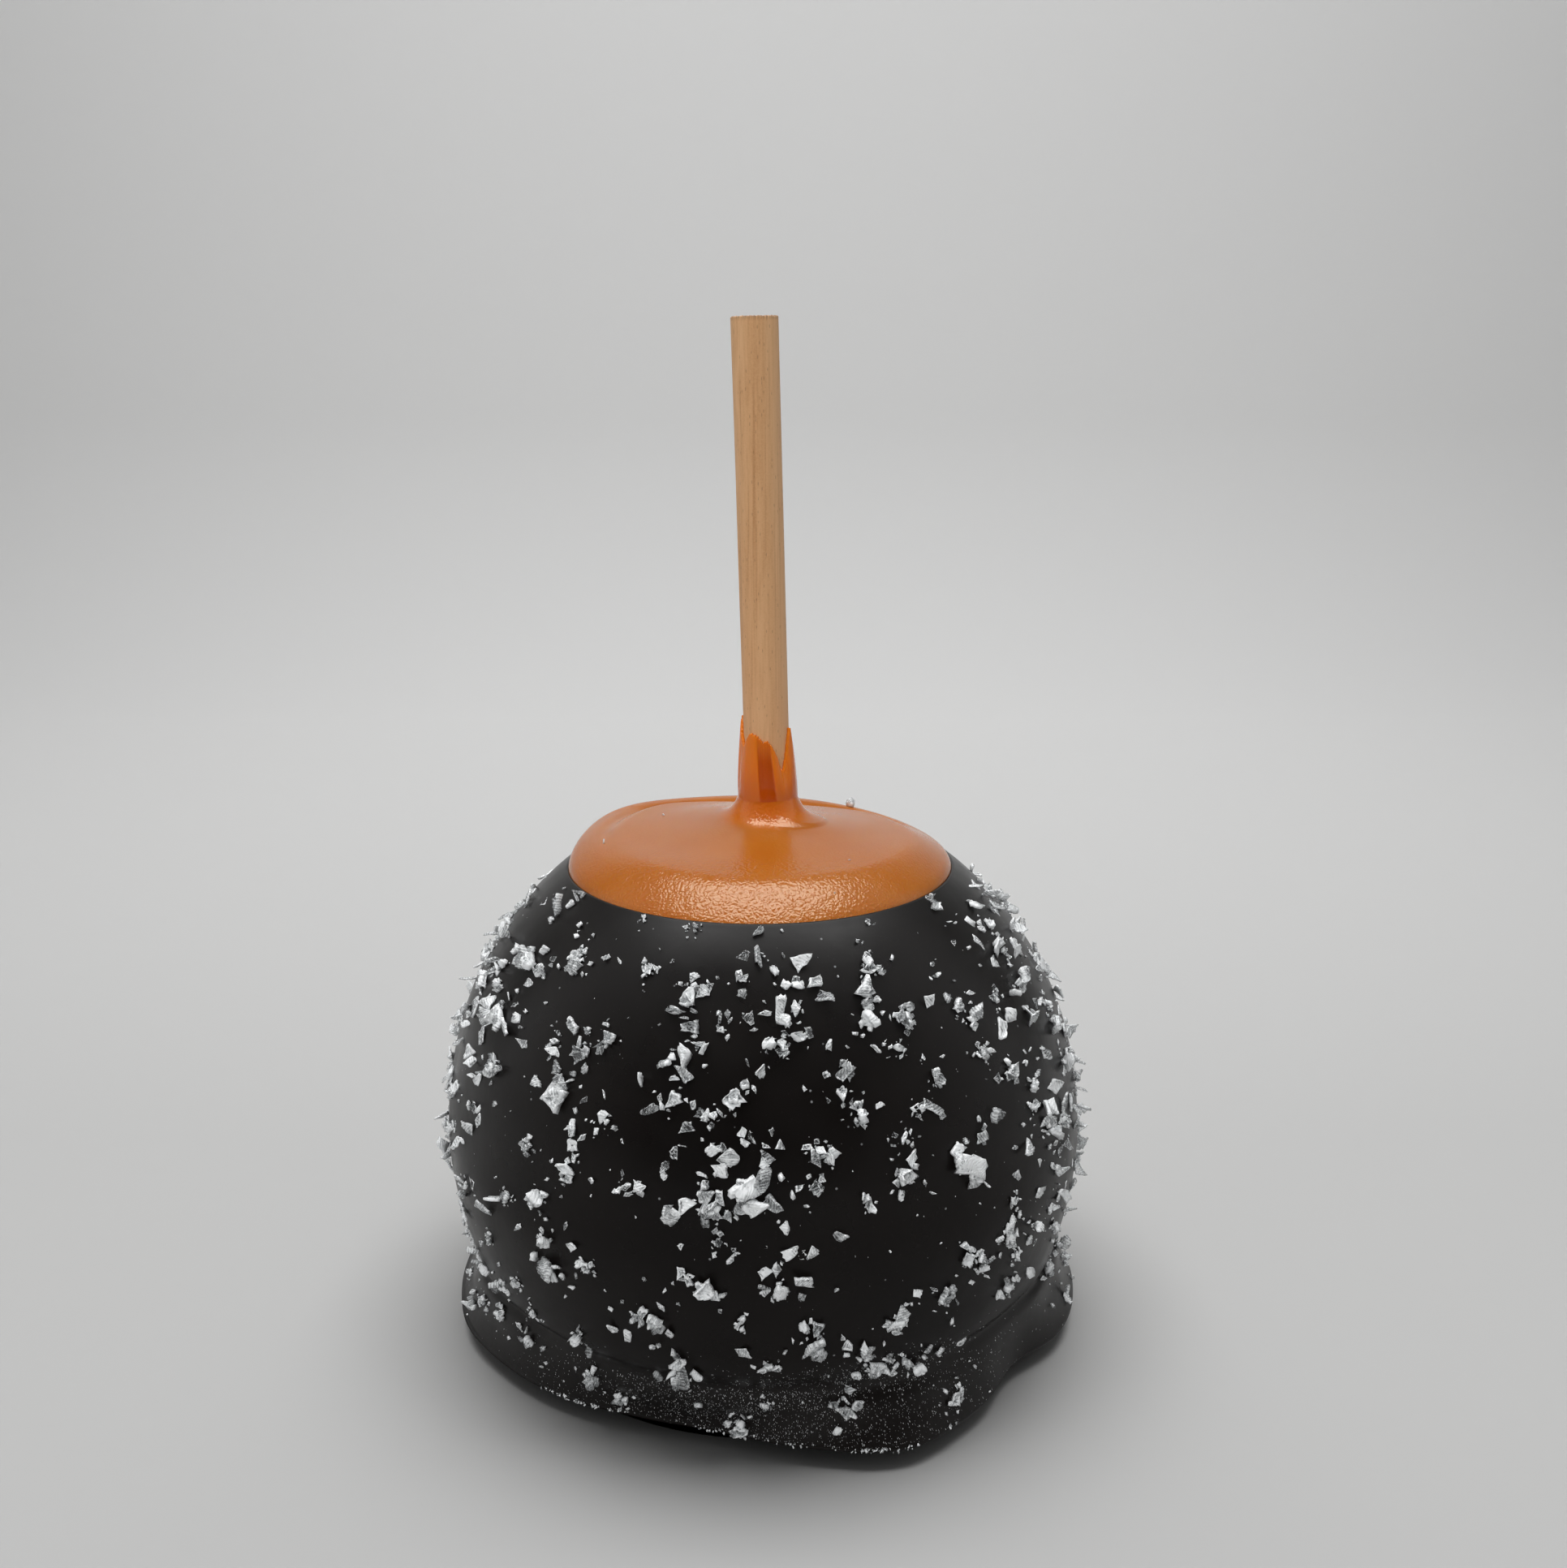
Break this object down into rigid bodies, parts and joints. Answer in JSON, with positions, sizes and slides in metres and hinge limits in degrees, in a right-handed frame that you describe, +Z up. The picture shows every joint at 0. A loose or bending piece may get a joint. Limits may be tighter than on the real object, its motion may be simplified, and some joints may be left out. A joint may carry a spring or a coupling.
{
  "type": "toffee apple",
  "caption": "Caramel apple dipped in dark chocolate, with a bare caramel cap, a round wooden stick, a spread chocolate foot and flaky salt.",
  "frame": {"origin": "on the floor, in the middle of the flat underside of the chocolate foot, on the body's axis", "axes": "+Z up along the stick, -Y towards the shown front, +X to the right as seen from the front"},
  "size_m": [0.0931, 0.093, 0.1434],
  "materials": {
    "caramel": "smooth soft caramel, glossy, a little translucent",
    "chocolate": "set dark chocolate, satin",
    "wood": "bare sanded birch, fine straight grain",
    "salt": "cloudy white salt flakes"
  },
  "bodies": {
    "root": {"caramel": "caramel", "chocolate": "chocolate", "stick": "wood"}
  },
  "joints": []
}
